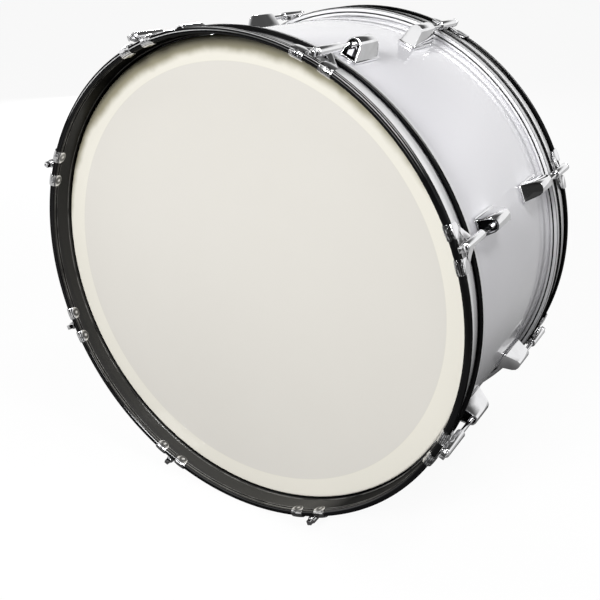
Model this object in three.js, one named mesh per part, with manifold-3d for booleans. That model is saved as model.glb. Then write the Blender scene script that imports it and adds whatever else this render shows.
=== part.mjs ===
// A marching bass drum: a wrapped wooden shell, two tunable heads under rolled
// steel hoops, and sixteen claws whose key rods screw into single-ended lugs.
//
// Millimetres. +Z is up and the drum's axis is Y. The front head faces -Y.
// The origin lies on the floor under the drum's middle.
// The drum is the same at both ends, so every piece is drawn for one end, in
// three local directions: tangential (x), axial from the middle outwards (y)
// and radial from the drum's axis (z).

import * as THREE from 'three';
import { mergeVertices } from 'three/addons/utils/BufferGeometryUtils.js';
import Module from 'manifold-3d';

const wasm = await Module();
wasm.setup();
const { Manifold, Mesh: SolidMesh } = wasm;

// Shell: 24 in across and 12 in deep
const shellRadius = 304.8;
const shellLength = 304.8;
const shellWall = 7;
const edgeRound = 2;

// Fits
const seatGap = 0.3;
const rodClearance = 0.35;
const cutOverrun = 2;

// Head: a plastic film whose collar is bonded in a flesh hoop
const filmThickness = 0.5;
const fleshHoopWall = 6;
const fleshHoopDepth = 8;
const fleshHoopBevel = 1.2;
const muffleRingWidth = 24;
const muffleRingThickness = 0.5;
const muffleRingInset = 3.5;

// Hoop: rolled steel, a hollow nose towards the player and a channel behind it
const hoopWidth = 38.5;
const hoopRise = 11.7;
const hoopGauge = 1.7;
const hoopClearance = 2.2;
const hoopFlare = 2.2;
const shoulderDepth = 12;
const noseFlare = 1;
const noseRoundDepth = 3.4;
const noseLipLength = 9.5;
const headRecess = 29.8;
const inlayThickness = 0.8;
const inlaySideGap = 0.6;

// Claw: two tongues over the nose and a barrel that guides the tension rod
const clawGauge = 2.2;
const clawSpread = 18.4;
const tongueWidth = 19;
const tongueReach = 13.6;
const tongueTipDepth = 6;
const tongueTipWidth = 8;
const wingCornerDepth = 12;
const wingMiddleDepth = 21.5;
const barrelRadius = 5.5;
const barrelLength = 46;
const barrelInset = 4;
const armFront = 17;
const armLength = 14.5;

// Tension rod: key operated, 12-24 thread
const rodDiameter = 5.5;
const rodStandOff = 18.2;
const rodPastNut = 6;
const washerRadius = 5.5;
const washerThickness = 1.1;
const flangeRadius = 4.9;
const flangeThickness = 1.6;
const keyHeadWidth = 6.35;
const keyHeadHeight = 6.2;

// Lug: a cast casing with an open mouth towards the hoop
const lugFromMiddle = 46;
const lugLength = 59;
const lugWidth = 25;
const lugCorner = 4;
const lugPlate = 2.4;
const lugHeight = 25;
const casingMargin = 1.6;
const casingWall = 1.8;
const mouthRake = 5;
const tailRake = 13;
const mouthDepth = 10;
const nutLength = 10;
const slackRoom = 6;

// Air vent in the shell's side
const ventHoleRadius = 6.4;
const ventBoreRadius = 4.4;
const ventFlangeRadius = 9.5;
const ventFlangeThickness = 1.2;
const ventAngle = 180;

// Pattern
const clawCount = 8;
const firstClawAngle = 22.5;

// Facets: a facet's middle, not its corner, lies on each claw's line and on the floor
const ringFacets = 48;
const shankFacets = 8;
const boreFacets = 6;
const barrelFacets = 8;
const smallRingFacets = 10;
const noseOuterSteps = 4;
const noseInnerSteps = 2;

// Surfaces closer than this count as one
const weldDistance = 1e-4;
const flatness = 1e-3;

// The lug casing's section, from its foot to its crown, as shares of half width and height
const casingSectionShares = [[1, 0], [0.86, 0.62], [0.66, 0.88], [0.26, 1]];

// Places along the axis, from the drum's middle outwards
const edgePeak = shellLength / 2;
const filmBack = edgePeak + seatGap;
const filmFace = filmBack + filmThickness;
const hoopFront = filmFace + headRecess;
const hoopBack = hoopFront - hoopWidth;
const fleshFront = hoopBack - seatGap;
const fleshBack = fleshFront - fleshHoopDepth;
const barrelFront = hoopFront - barrelInset;
const lugMouth = lugFromMiddle + lugLength;
const nutFace = lugMouth - casingMargin - mouthRake - mouthDepth;
const nutBack = nutFace - nutLength;

// Radii
const shellBore = shellRadius - shellWall;
const peakRadius = shellRadius - edgeRound;
const collarInside = shellRadius + seatGap;
const collarOutside = collarInside + filmThickness;
const hoopRadius = shellRadius + hoopRise;
const hoopBore = shellRadius + hoopClearance;
const shoulderRadius = hoopBore + hoopFlare;
const noseInside = shoulderRadius + noseFlare;
const rodRadius = rodDiameter / 2;
const rodCircle = shellRadius + rodStandOff;
const lugSeat = shellRadius + seatGap;
const hoopCorner = hoopRadius / Math.cos(Math.PI / ringFacets);

// Materials, one for each finish
const finishes = {
  wrap: { color: 0xdcdbe2, roughness: 0.16, metalness: 0 },
  gloss_black: { color: 0x141416, roughness: 0.18, metalness: 0.2 },
  inlay: { color: 0xe6e6ea, roughness: 0.3, metalness: 0 },
  film: { color: 0xe8e6d8, roughness: 0.45, metalness: 0 },
  flesh_metal: { color: 0xb9bbbf, roughness: 0.35, metalness: 0.9 },
  muffle: { color: 0xf0ead6, roughness: 0.8, metalness: 0 },
  chrome: { color: 0xd9dadd, roughness: 0.08, metalness: 1 },
};

function material(finish) {
  return new THREE.MeshStandardMaterial(finishes[finish]);
}

// A geometry's closed surface with shared vertices, turned outwards
function solid(geometry) {
  const bare = new THREE.BufferGeometry();
  bare.setAttribute('position', geometry.getAttribute('position').clone());
  if (geometry.index) bare.setIndex(geometry.index.clone());
  const merged = mergeVertices(bare, weldDistance);
  const triangles = [];
  const index = merged.index.array;
  for (let i = 0; i < index.length; i += 3) {
    const [a, b, c] = [index[i], index[i + 1], index[i + 2]];
    if (a !== b && b !== c && c !== a) triangles.push(a, b, c);
  }
  const vertProperties = new Float32Array(merged.getAttribute('position').array);
  if (signedVolume(vertProperties, triangles) < 0) triangles.reverse();
  return new Manifold(new SolidMesh({ numProp: 3, vertProperties, triVerts: new Uint32Array(triangles) }));
}

function signedVolume(points, triangles) {
  const corner = [new THREE.Vector3(), new THREE.Vector3(), new THREE.Vector3()];
  let volume = 0;
  for (let i = 0; i < triangles.length; i += 3) {
    corner.forEach((v, k) => v.fromArray(points, triangles[i + k] * 3));
    volume += corner[0].dot(corner[1].clone().cross(corner[2]));
  }
  return volume;
}

function surface(shape) {
  const mesh = shape.asOriginal().simplify(flatness).getMesh();
  const geometry = new THREE.BufferGeometry();
  geometry.setAttribute('position', new THREE.BufferAttribute(new Float32Array(mesh.vertProperties), 3));
  geometry.setIndex(new THREE.BufferAttribute(new Uint32Array(mesh.triVerts), 1));
  geometry.computeVertexNormals();
  return geometry;
}

function named(name, finish, shape) {
  const mesh = new THREE.Mesh(surface(shape), material(finish));
  mesh.name = name;
  return mesh;
}

// A ring round the drum's axis. The profile is a list of [radius, place along the axis];
// the radii are those of the facets' middles.
function ring(profile) {
  const widen = 1 / Math.cos(Math.PI / ringFacets);
  const points = profile.map(([radius, along]) => new THREE.Vector2(radius * widen, along));
  if (profile[0][0] > 0) points.push(points[0].clone());
  return solid(new THREE.LatheGeometry(points, ringFacets, Math.PI / ringFacets));
}

// A prism: an outline in x and y, raised along z from one height to another
function plate(outline, low, high) {
  const shape = new THREE.Shape(outline.map(([x, y]) => new THREE.Vector2(x, y)));
  const geometry = new THREE.ExtrudeGeometry(shape, { depth: high - low, bevelEnabled: false });
  geometry.translate(0, 0, low);
  return solid(geometry);
}

// A prism of an outline in y and z, spread to both sides of x = 0
function strip(outline, width) {
  const shape = new THREE.Shape(outline.map(([along, radius]) => new THREE.Vector2(along, radius)));
  const geometry = new THREE.ExtrudeGeometry(shape, { depth: width, bevelEnabled: false });
  const axes = new THREE.Matrix4().makeBasis(
    new THREE.Vector3(0, 1, 0), new THREE.Vector3(0, 0, 1), new THREE.Vector3(1, 0, 0));
  return solid(geometry.translate(0, 0, -width / 2).applyMatrix4(axes));
}

// A round bar along the axis, at the tension rods' distance from it
function axialBar(radius, from, to, facets) {
  const geometry = new THREE.CylinderGeometry(radius, radius, to - from, facets);
  geometry.rotateY(Math.PI / facets);
  return solid(geometry.translate(0, (from + to) / 2, rodCircle));
}

// The radius at which a polygon of facets clears a circle
function facetCorner(radius, facets) {
  return radius / Math.cos(Math.PI / facets);
}

function mirrored(outline) {
  return outline.map(([x, y]) => [-x, y]).reverse();
}

function shell() {
  const bevelled = edgePeak - (peakRadius - shellBore);
  const half = [[shellBore, bevelled], [peakRadius, edgePeak], [shellRadius, edgePeak - edgeRound]];
  const otherHalf = half.map(([radius, along]) => [radius, -along]).reverse();
  const hole = new THREE.CylinderGeometry(ventHoleRadius, ventHoleRadius, shellRadius, smallRingFacets);
  hole.rotateX(Math.PI / 2).translate(0, 0, shellRadius);
  hole.rotateY(radialTurn(ventAngle));
  return ring([...otherHalf, ...half]).subtract(solid(hole));
}

function ventEyelet() {
  const outer = shellRadius + seatGap;
  const inner = shellBore - seatGap;
  const stem = ventHoleRadius - seatGap;
  const profile = [
    [ventBoreRadius, inner - ventFlangeThickness],
    [ventHoleRadius + ventFlangeThickness, inner - ventFlangeThickness],
    [ventHoleRadius + ventFlangeThickness, inner],
    [stem, inner],
    [stem, outer],
    [ventFlangeRadius, outer],
    [ventFlangeRadius - ventFlangeThickness / 2, outer + ventFlangeThickness],
    [ventBoreRadius, outer + ventFlangeThickness],
  ];
  const points = [...profile, profile[0]].map(([radius, along]) => new THREE.Vector2(radius, along));
  const geometry = new THREE.LatheGeometry(points, smallRingFacets).rotateX(Math.PI / 2);
  return solid(geometry);
}

// The film lies on the bearing edge and turns down over it into its flesh hoop
function headFilm() {
  const turnDepth = edgeRound + seatGap;
  const turnOffset = filmThickness * Math.tan(Math.PI / 8);
  return ring([
    [0, filmBack],
    [peakRadius, filmBack],
    [collarInside, filmBack - turnDepth],
    [collarInside, fleshBack],
    [collarOutside, fleshBack],
    [collarOutside, filmBack - turnDepth + turnOffset],
    [peakRadius + turnOffset, filmFace],
    [0, filmFace],
  ]);
}

function fleshHoop() {
  const inside = collarOutside + seatGap;
  const outside = inside + fleshHoopWall;
  return ring([
    [inside, fleshBack],
    [outside - fleshHoopBevel, fleshBack],
    [outside, fleshBack + fleshHoopBevel],
    [outside, fleshFront - fleshHoopBevel],
    [outside - fleshHoopBevel, fleshFront],
    [inside, fleshFront],
  ]);
}

// A narrow ring behind the film's rim damps the head's overtones
function muffleRing() {
  const outside = peakRadius - muffleRingInset;
  const face = filmBack - seatGap;
  return ring([
    [outside - muffleRingWidth, face - muffleRingThickness],
    [outside, face - muffleRingThickness],
    [outside, face],
    [outside - muffleRingWidth, face],
  ]);
}

// Half an ellipse over the nose, from its inner side round its front to its outer side
function noseArc(inside, outside, depth, steps) {
  const middle = (inside + outside) / 2;
  const points = [];
  for (let i = 0; i <= steps; i += 1) {
    const angle = (Math.PI * i) / steps;
    const along = hoopFront - noseRoundDepth + depth * Math.sin(angle);
    points.push([middle - ((outside - inside) / 2) * Math.cos(angle), along]);
  }
  return points;
}

function hoop() {
  const channelBack = hoopBack + hoopGauge;
  const hollow = noseArc(
    noseInside + hoopGauge, hoopRadius - hoopGauge, noseRoundDepth - hoopGauge, noseInnerSteps);
  return ring([
    [hoopBore, hoopBack],
    [shoulderRadius, hoopFront - shoulderDepth],
    ...noseArc(noseInside, hoopRadius, noseRoundDepth, noseOuterSteps),
    [hoopRadius, hoopFront - noseLipLength],
    [hoopRadius - hoopGauge, hoopFront - noseLipLength],
    ...hollow.reverse(),
    [shoulderRadius + hoopGauge, hoopFront - shoulderDepth],
    [hoopBore + hoopGauge, channelBack],
    [hoopRadius, channelBack],
    [hoopRadius, hoopBack],
  ]);
}

// The coloured strip on the floor of the hoop's channel
function hoopInlay() {
  const channelBack = hoopBack + hoopGauge;
  const shoulder = hoopFront - shoulderDepth;
  const slope = hoopFlare / (shoulder - channelBack);
  const floor = (along) => hoopBore + hoopGauge + slope * (along - channelBack) + seatGap;
  const back = channelBack + inlaySideGap;
  const front = shoulder - inlaySideGap;
  return ring([
    [floor(back), back],
    [floor(front), front],
    [floor(front) + inlayThickness, front],
    [floor(back) + inlayThickness, back],
  ]);
}

// One of a claw's two tongues with its hook over the nose and its wing, drawn about x = 0
function clawSide(towardsBarrel) {
  const under = hoopCorner + seatGap;
  const top = under + clawGauge;
  const inside = shoulderRadius - seatGap;
  const deep = inside - clawGauge;
  const front = hoopFront + seatGap;
  const bend = front - noseRoundDepth;
  const lipEnd = hoopFront - noseLipLength;
  const half = tongueWidth / 2;
  const hook = strip([
    [bend, inside],
    [bend, deep],
    [front + clawGauge, inside + clawGauge],
    [front + clawGauge, under - clawGauge],
    [bend, top],
    [lipEnd, top],
    [lipEnd, under],
    [bend, under],
    [front, under - noseRoundDepth / 2],
    [front, inside + noseRoundDepth],
  ], tongueWidth);
  const tip = hoopFront - tongueReach;
  const tongue = plate([
    [-half, bend],
    [-half, tip + tongueTipDepth],
    [-tongueTipWidth / 2, tip],
    [tongueTipWidth / 2, tip],
    [half, tip + tongueTipDepth],
    [half, bend],
  ], deep, inside);
  const wingOutline = [
    [half, lipEnd],
    [half, hoopFront - wingCornerDepth],
    [0, hoopFront - wingMiddleDepth],
    [-clawSpread, hoopFront - armFront - armLength],
    [-clawSpread, hoopFront - armFront],
    [-half, hoopFront - armFront],
    [-half, lipEnd],
  ];
  const outline = towardsBarrel > 0 ? wingOutline : mirrored(wingOutline);
  const wing = plate(outline, under, top);
  return hook.add(tongue).add(wing);
}

function claw() {
  const turn = THREE.MathUtils.radToDeg(Math.atan(clawSpread / hoopRadius));
  const barrel = axialBar(barrelRadius, barrelFront - barrelLength, barrelFront, barrelFacets);
  const boreRadius = facetCorner(rodRadius + rodClearance, boreFacets);
  const boreBack = barrelFront - barrelLength - cutOverrun;
  const bore = axialBar(boreRadius, boreBack, barrelFront + cutOverrun, boreFacets);
  const right = clawSide(1).rotate([0, turn, 0]);
  const left = clawSide(-1).rotate([0, -turn, 0]);
  return right.add(left).add(barrel).subtract(bore);
}

function tensionRod() {
  const underHead = barrelFront + seatGap;
  const washerTop = underHead + washerThickness;
  const flangeTop = washerTop + flangeThickness;
  const inWasher = (underHead + washerTop) / 2;
  const inFlange = (washerTop + flangeTop) / 2;
  const shank = axialBar(rodRadius, nutBack - rodPastNut, inWasher, shankFacets);
  const washer = axialBar(washerRadius, underHead, washerTop, shankFacets);
  const flange = axialBar(flangeRadius, inWasher, flangeTop, shankFacets);
  const half = keyHeadWidth / 2;
  const square = strip([
    [inFlange, rodCircle - half],
    [inFlange, rodCircle + half],
    [flangeTop + keyHeadHeight, rodCircle + half],
    [flangeTop + keyHeadHeight, rodCircle - half],
  ], keyHeadWidth);
  return shank.add(washer).add(flange).add(square);
}

// A casing block: the arched section drawn out along the axis, with raked ends
function casingBlock(halfWidth, foot, crown, mouth, tail, mouthSlope, tailSlope) {
  const height = crown - foot;
  const rightSide = casingSectionShares.map(([across, up]) => [across * halfWidth, foot + up * height]);
  const section = [...rightSide, ...mirrored(rightSide)];
  const shape = new THREE.Shape(section.map(([x, z]) => new THREE.Vector2(x, z)));
  const geometry = new THREE.ExtrudeGeometry(shape, { depth: 1, bevelEnabled: false });
  const position = geometry.getAttribute('position');
  for (let i = 0; i < position.count; i += 1) {
    const [x, z, end] = [position.getX(i), position.getY(i), position.getZ(i)];
    const up = z - foot;
    const along = end > 0 ? tail + up * tailSlope : mouth - up * mouthSlope;
    position.setXYZ(i, x, along, z);
  }
  return solid(geometry);
}

function lug() {
  const seat = lugSeat;
  const half = lugWidth / 2;
  const crown = shellRadius + lugHeight;
  const plateTop = seat + lugPlate;
  const base = plate([
    [-half, lugFromMiddle + lugCorner],
    [-half + lugCorner, lugFromMiddle],
    [half - lugCorner, lugFromMiddle],
    [half, lugFromMiddle + lugCorner],
    [half, lugMouth - lugCorner],
    [half - lugCorner, lugMouth],
    [-half + lugCorner, lugMouth],
    [-half, lugMouth - lugCorner],
  ], seat, plateTop);
  const mouth = lugMouth - casingMargin;
  const tail = lugFromMiddle + casingMargin;
  const footWidth = half - casingMargin;
  const height = crown - plateTop;
  const casingFoot = seat + lugPlate / 2;
  const mouthSlope = mouthRake / height;
  const tailSlope = tailRake / height;
  const casing = casingBlock(footWidth, casingFoot, crown, mouth, tail, mouthSlope, tailSlope);
  const pocketHalf = footWidth - casingWall;
  const pocketTop = crown - casingWall;
  const pocket = casingBlock(pocketHalf, plateTop, pocketTop, mouth + cutOverrun, nutFace, mouthSlope, 0);
  const boreRadius = facetCorner(rodRadius + rodClearance, boreFacets);
  const bore = axialBar(boreRadius, nutBack - rodPastNut - slackRoom, nutFace + cutOverrun, boreFacets);
  return base.add(casing).subtract(pocket).subtract(bore);
}

// The turn about Y that points local z at an angle seen from the front, from +X towards +Z
function radialTurn(angle) {
  return THREE.MathUtils.degToRad(90 - angle);
}

const drum = new THREE.Group();
drum.position.set(0, 0, hoopRadius);

drum.add(named('shell', 'wrap', shell()));

const ventGroup = new THREE.Group();
ventGroup.rotation.y = radialTurn(ventAngle);
ventGroup.add(named('vent_eyelet', 'chrome', ventEyelet()));
drum.add(ventGroup);

const endPieces = {
  hoop: ['gloss_black', hoop()],
  hoop_inlay: ['inlay', hoopInlay()],
  head_film: ['film', headFilm()],
  flesh_hoop: ['flesh_metal', fleshHoop()],
  muffle_ring: ['muffle', muffleRing()],
};
const clawPieces = { claw: claw(), tension_rod: tensionRod(), lug: lug() };

for (const [end, flip] of [['front', Math.PI], ['rear', 0]]) {
  const endGroup = new THREE.Group();
  endGroup.rotation.z = flip;
  for (const [piece, [finish, shape]] of Object.entries(endPieces)) {
    endGroup.add(named(`${end}_${piece}`, finish, shape));
  }
  drum.add(endGroup);

  for (let i = 0; i < clawCount; i += 1) {
    const angle = firstClawAngle + (360 * i) / clawCount;
    const station = new THREE.Group();
    station.rotation.y = radialTurn(angle);
    const facing = new THREE.Group();
    facing.rotation.z = flip;
    for (const [piece, shape] of Object.entries(clawPieces)) {
      facing.add(named(`${end}_${piece}_${i + 1}`, 'chrome', shape));
    }
    station.add(facing);
    drum.add(station);
  }
}

export default drum;
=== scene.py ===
import math

import bmesh
import bpy
from mathutils import Matrix, Vector


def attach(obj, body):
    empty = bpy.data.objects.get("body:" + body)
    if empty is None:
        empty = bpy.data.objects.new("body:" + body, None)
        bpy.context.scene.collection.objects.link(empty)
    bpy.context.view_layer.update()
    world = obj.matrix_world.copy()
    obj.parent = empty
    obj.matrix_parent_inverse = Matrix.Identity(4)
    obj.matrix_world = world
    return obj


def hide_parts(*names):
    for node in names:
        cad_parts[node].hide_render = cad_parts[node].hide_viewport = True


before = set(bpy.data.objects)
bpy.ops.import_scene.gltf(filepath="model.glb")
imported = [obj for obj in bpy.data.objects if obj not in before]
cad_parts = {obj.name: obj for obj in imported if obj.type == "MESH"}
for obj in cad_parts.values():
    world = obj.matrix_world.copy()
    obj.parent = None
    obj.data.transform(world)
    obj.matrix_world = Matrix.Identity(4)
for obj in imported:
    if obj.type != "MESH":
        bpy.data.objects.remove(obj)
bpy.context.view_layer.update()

# Sizes are in millimetres and scaled by mm. What both ends have is drawn at the rear end (+Y),
# and the front end has the same turned half round the upright axis.
mm = 0.001
axisHeight = 316.5 * mm
ringSteps = 256
weld = 0.000001
touch = 1.0  # a place this near another, in mm, counts as being at it
facing = 0.6  # a face looks a way when this share of its normal does

ends = {"front": math.pi, "rear": 0.0}
clawCount = 8
clawAngles = [(i + 0.5) * 360 / clawCount for i in range(clawCount)]

drum = {
    "shellRadius": 304.8,
    "halfLength": 152.4,
    "wall": 7.0,
    "filmBack": 152.7,
    "filmFace": 153.2,
    "hoopFront": 183.0,
    "hoopBack": 144.5,
    "rodCircle": 323.0,
    "seatGap": 0.3,
}


def setMode(mode):
    bpy.ops.object.mode_set(mode=mode)


def clearSelection():
    if bpy.context.object and bpy.context.object.mode != "OBJECT":
        setMode("OBJECT")
    bpy.ops.object.select_all(action="DESELECT")


def activate(piece):
    clearSelection()
    piece.select_set(True)
    bpy.context.view_layer.objects.active = piece


def settle(piece):
    # the place goes into the mesh and the object sits at the origin
    activate(piece)
    bpy.ops.object.transform_apply(location=True, rotation=True, scale=True)


def pick(piece, kind, test):
    # in edit mode, selects the vertices, edges or faces whose middle passes the test
    bpy.ops.mesh.select_mode(type=kind)
    bpy.ops.mesh.select_all(action="DESELECT")
    mesh = bmesh.from_edit_mesh(piece.data)
    if kind == "VERT":
        for v in mesh.verts:
            v.select_set(test(v.co / mm, v.normal))
    elif kind == "EDGE":
        for e in mesh.edges:
            a, b = e.verts[0].co / mm, e.verts[1].co / mm
            e.select_set(test((a + b) / 2, b - a))
    else:
        for f in mesh.faces:
            f.select_set(test(f.calc_center_median() / mm, f.normal))
    bmesh.update_edit_mesh(piece.data)


def dot(name, where):
    # a plane merged into one vertex, the start of a drawn line
    clearSelection()
    bpy.ops.mesh.primitive_plane_add(size=mm, location=where)
    piece = bpy.context.object
    piece.name = name
    settle(piece)
    setMode("EDIT")
    bpy.ops.mesh.select_mode(type="VERT")
    bpy.ops.mesh.select_all(action="SELECT")
    bpy.ops.mesh.merge(type="CENTER")
    return piece


def drawLine(name, points):
    piece = dot(name, points[0])
    for a, b in zip(points, points[1:]):
        step = Vector(b) - Vector(a)
        bpy.ops.mesh.extrude_region_move(TRANSFORM_OT_translate={"value": step})
    return piece


def turned(name, profile, closed=True, steps=ringSteps, centre=0.0, spinAxis="drum"):
    # spins a profile of (radius, along) round the drum's axis, a rod's axis or the upright one
    outline = profile + [profile[0]] if closed else profile
    if spinAxis == "drum":
        points = [Vector((0, y * mm, axisHeight + r * mm)) for r, y in outline]
        middle, axis = (0, 0, axisHeight), (0, 1, 0)
    elif spinAxis == "rod":
        points = [Vector((0, y * mm, (centre + r) * mm)) for r, y in outline]
        middle, axis = (0, 0, centre * mm), (0, 1, 0)
    else:
        points = [Vector((r * mm, 0, z * mm)) for r, z in outline]
        middle, axis = (0, 0, 0), (0, 0, 1)
    piece = drawLine(name, points)
    bpy.ops.mesh.select_all(action="SELECT")
    bpy.ops.mesh.spin(steps=steps, angle=2 * math.pi, center=middle, axis=axis)
    bpy.ops.mesh.select_all(action="SELECT")
    bpy.ops.mesh.remove_doubles(threshold=weld)
    bpy.ops.mesh.normals_make_consistent(inside=False)
    setMode("OBJECT")
    return piece


def rounded(corners, rounds, steps, closed=True):
    # replaces each (radius, along) corner by an arc with the radius that rounds gives
    count = len(corners)
    out = []
    for i, (r, y) in enumerate(corners):
        here = Vector((r, y))
        if rounds[i] == 0 or (not closed and i in (0, count - 1)):
            out.append((r, y))
            continue
        before = Vector(corners[i - 1]) - here
        after = Vector(corners[(i + 1) % count]) - here
        half = before.angle(after) / 2
        reach = rounds[i] / math.tan(half)
        start = here + before.normalized() * reach
        end = here + after.normalized() * reach
        inwards = (before.normalized() + after.normalized()).normalized()
        centre = here + inwards * (rounds[i] / math.sin(half))
        a, b = start - centre, end - centre
        sweep = a.angle(b)
        for k in range(steps + 1):
            t = k / steps
            wa = math.sin((1 - t) * sweep) / math.sin(sweep)
            wb = math.sin(t * sweep) / math.sin(sweep)
            p = centre + a * wa + b * wb
            out.append((p.x, p.y))
    return out


def addBox(name, low, high):
    clearSelection()
    low, high = Vector(low) * mm, Vector(high) * mm
    bpy.ops.mesh.primitive_cube_add(size=1, location=(low + high) / 2)
    piece = bpy.context.object
    piece.name = name
    piece.scale = high - low
    settle(piece)
    return piece


def addDrill(radius, length, sides, where, turn):
    # a cylinder that a hole is cut with
    clearSelection()
    bpy.ops.mesh.primitive_cylinder_add(
        vertices=sides, radius=radius * mm, depth=length * mm, location=where, rotation=turn)
    drill = bpy.context.object
    settle(drill)
    return drill


def modify(piece, kind, **values):
    activate(piece)
    modifier = piece.modifiers.new(kind.lower(), kind)
    for key, value in values.items():
        setattr(modifier, key, value)
    bpy.ops.object.modifier_apply(modifier=modifier.name)
    return piece


def combine(piece, other, operation):
    modify(piece, "BOOLEAN", object=other, operation=operation, solver="EXACT")
    bpy.data.objects.remove(other)
    return piece


def smooth(piece, angle):
    activate(piece)
    bpy.ops.object.shade_smooth_by_angle(angle=math.radians(angle))
    return piece


def softenEdges(piece, width, angle, segments=2):
    modify(piece, "BEVEL", width=width * mm, segments=segments, limit_method="ANGLE",
           angle_limit=math.radians(angle), harden_normals=False, use_clamp_overlap=True)
    return piece


def markVertices(piece, name, values):
    layer = piece.data.attributes.new(name, "FLOAT", "POINT")
    layer.data.foreach_set("value", values)


def place(source, name, matrix, body, slotName, nodes):
    piece = source.copy()
    piece.data = source.data.copy()
    piece.name = name
    piece.data.name = name
    bpy.context.scene.collection.objects.link(piece)
    piece.data.transform(matrix)
    piece.data.materials.clear()
    piece.data.materials.append(materials[slotName])
    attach(piece, body)
    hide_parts(*nodes)
    return piece


def stationPlace(end, angle):
    lift = Matrix.Translation((0, 0, axisHeight))
    return lift @ Matrix.Rotation(math.radians(90 - angle), 4, "Y") @ Matrix.Rotation(ends[end], 4, "Z")


def newGroup(name, inputs, outputs):
    group = bpy.data.node_groups.new(name, "ShaderNodeTree")
    for socketName, value in inputs.items():
        made = group.interface.new_socket(name=socketName, in_out="INPUT", socket_type="NodeSocketFloat")
        made.default_value = value
    for socketName in outputs:
        group.interface.new_socket(name=socketName, in_out="OUTPUT", socket_type="NodeSocketFloat")
    start = group.nodes.new("NodeGroupInput")
    end = group.nodes.new("NodeGroupOutput")
    return group, start.outputs, end.inputs


def node(tree, kind, links=None, **values):
    made = tree.nodes.new("ShaderNode" + kind)
    for key, value in values.items():
        setattr(made, key, value)
    for key, value in (links or {}).items():
        socket = made.inputs[key]
        if isinstance(value, bpy.types.NodeSocket):
            tree.links.new(value, socket)
        else:
            socket.default_value = value
    return made


def math2(tree, operation, a, b=0.0):
    return node(tree, "Math", {0: a, 1: b}, operation=operation).outputs[0]


def times(tree, first, *others):
    for value in others:
        first = math2(tree, "MULTIPLY", first, value)
    return first


def highest(tree, first, *others):
    for value in others:
        first = math2(tree, "MAXIMUM", first, value)
    return first


def ranged(tree, value, low, high, atLow=0.0, atHigh=1.0, kind="LINEAR"):
    # stretches low to high over atLow to atHigh, and holds it there
    made = node(tree, "MapRange", {
        "Value": value, "From Min": low, "From Max": high, "To Min": atLow, "To Max": atHigh},
        interpolation_type=kind)
    return made.outputs[0]


def lineMask(tree, value, middle, reach, core, strength=1.0):
    # full strength within core of the middle, nothing beyond reach
    away = math2(tree, "ABSOLUTE", math2(tree, "SUBTRACT", value, middle))
    return ranged(tree, away, reach, core, 0.0, strength)


def objectPlace(tree):
    return node(tree, "TexCoord").outputs["Object"]


def noise(tree, where, scale, detail, roughness=0.5):
    made = node(tree, "TexNoise", {
        "Vector": where, "Scale": scale, "Detail": detail, "Roughness": roughness})
    return made.outputs[0]


def colourMix(tree, share, low, high):
    # low and high are colours or sockets
    low, high = [(*c, 1) if isinstance(c, tuple) else c for c in (low, high)]
    return node(tree, "Mix", {0: share, 6: low, 7: high}, data_type="RGBA").outputs[2]


def valueMix(tree, share, low, high):
    return node(tree, "Mix", {0: share, 2: low, 3: high}).outputs[0]


def buildDrumAxisGroup():
    # radius from the drum's axis and place along it in mm, and the angle round it
    group, _, results = newGroup("drumAxis", {}, ["Radius", "Turn", "Along"])
    split = node(group, "SeparateXYZ", {0: objectPlace(group)})
    across, along, height = split.outputs[0], split.outputs[1], split.outputs[2]
    up = math2(group, "SUBTRACT", height, axisHeight)
    square = math2(group, "ADD", times(group, across, across), times(group, up, up))
    radius = math2(group, "DIVIDE", math2(group, "SQRT", square), mm)
    group.links.new(radius, results["Radius"])
    group.links.new(math2(group, "ARCTAN2", up, across), results["Turn"])
    group.links.new(math2(group, "DIVIDE", along, mm), results["Along"])
    return group


smudgeSettings = {
    "broadDetail": 3.0, "broadRoughness": 0.6, "broadShare": 0.65,
    "fineScale": 7.0, "fineDetail": 4.0, "fineRoughness": 0.7,
}


def buildSmudgeGroup():
    # handling marks: broad patches and finer spots, as a value round zero
    s = smudgeSettings
    group, given, results = newGroup("smudges", {"Scale": 12.0, "Amount": 0.05}, ["Value"])
    where = objectPlace(group)
    broad = noise(group, where, given["Scale"], s["broadDetail"], s["broadRoughness"])
    fineScale = times(group, given["Scale"], s["fineScale"])
    fine = noise(group, where, fineScale, s["fineDetail"], s["fineRoughness"])
    both = math2(group, "ADD", times(group, broad, s["broadShare"]), times(group, fine, 1 - s["broadShare"]))
    centred = math2(group, "SUBTRACT", both, 0.5)
    group.links.new(times(group, centred, given["Amount"]), results["Value"])
    return group


# how each set of scratches is turned and drawn out
scratchSettings = {"sets": (((0.3, 0.2, 0.5), 9.0), ((1.1, 0.7, 1.9), 13.0)), "detail": 2.0}


def buildScratchGroup():
    # hairline scratches: thin crossing lines as a mask from 0 to 1
    s = scratchSettings
    group, given, results = newGroup("hairScratches", {"Scale": 60.0, "Width": 0.02}, ["Mask"])
    masks = []
    for turn, stretch in s["sets"]:
        mapping = node(group, "Mapping", {
            "Vector": objectPlace(group), "Rotation": turn, "Scale": (1.0, stretch, stretch)})
        lines = noise(group, mapping.outputs[0], given["Scale"], s["detail"])
        away = math2(group, "ABSOLUTE", math2(group, "SUBTRACT", lines, 0.5))
        near = math2(group, "DIVIDE", away, given["Width"])
        masks.append(node(group, "Math", {0: 1.0, 1: near},
                          operation="SUBTRACT", use_clamp=True).outputs[0])
    group.links.new(highest(group, *masks), results["Mask"])
    return group


waveSettings = {"broadDetail": 1.0, "fineDetail": 2.0}


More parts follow.
